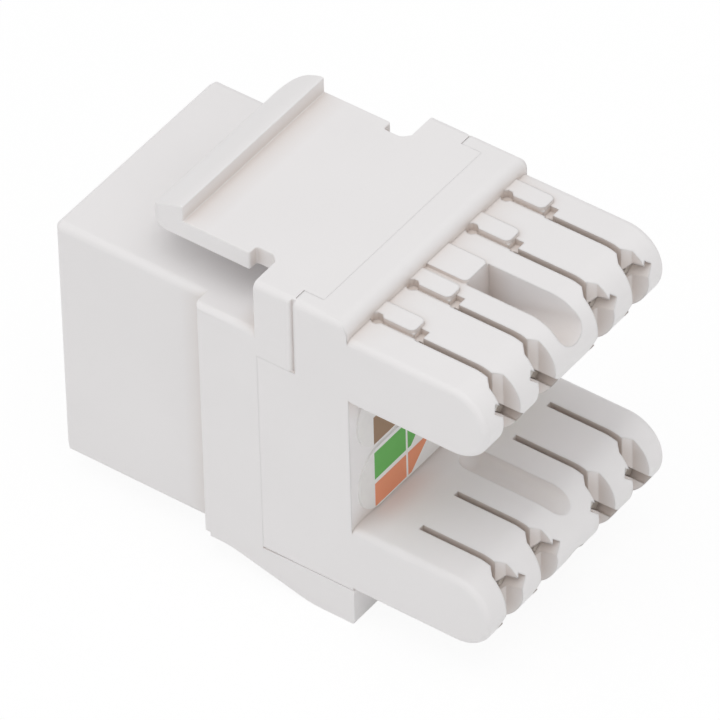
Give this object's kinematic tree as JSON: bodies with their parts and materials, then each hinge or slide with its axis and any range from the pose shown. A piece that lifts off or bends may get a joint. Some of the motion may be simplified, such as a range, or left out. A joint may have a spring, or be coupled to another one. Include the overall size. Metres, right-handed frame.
{
  "type": "keystone jack",
  "caption": "Snap-in modular jack with a plug port at the front, a flexing panel latch on top, and facing rows of punch-down wire slots at the rear.",
  "frame": {"origin": "centre of the front face, on the middle plane, halfway up the nose that fills the panel window", "axes": "+X from the plug side to the wire side, +Y to the side, +Z to the side with the flexing latch"},
  "size_m": [0.0292, 0.0164, 0.0227],
  "materials": {
    "housing_plastic": "satin, moulded",
    "block_plastic": "satin, moulded",
    "carrier_plastic": "satin, moulded",
    "circuit_board": "solder mask",
    "label": "printed film",
    "contact_metal": "gold plated",
    "terminal_metal": "tin plated"
  },
  "bodies": {
    "jack": {"front_housing": "housing_plastic", "idc_block": "block_plastic", "circuit_board": "circuit_board", "contact_carrier": "carrier_plastic", "upper_label": "label", "lower_label": "label", "contact_spring_1": "contact_metal", "contact_spring_2": "contact_metal", "contact_spring_3": "contact_metal", "contact_spring_4": "contact_metal", "contact_spring_5": "contact_metal", "contact_spring_6": "contact_metal", "contact_spring_7": "contact_metal", "contact_spring_8": "contact_metal", "idc_terminal_1": "terminal_metal", "idc_terminal_2": "terminal_metal", "idc_terminal_3": "terminal_metal", "idc_terminal_4": "terminal_metal", "idc_terminal_5": "terminal_metal", "idc_terminal_6": "terminal_metal", "idc_terminal_7": "terminal_metal", "idc_terminal_8": "terminal_metal"},
    "latch": {"latch": "housing_plastic"}
  },
  "joints": [
    {"name": "latch_flex", "type": "hinge", "parent": "jack", "child": "latch", "pos_m": [0.0141, 0, 0.0107], "axis": [0, -1, 0], "range_deg": [0, 12], "stiffness_Nm_per_rad": 0.3}
  ]
}
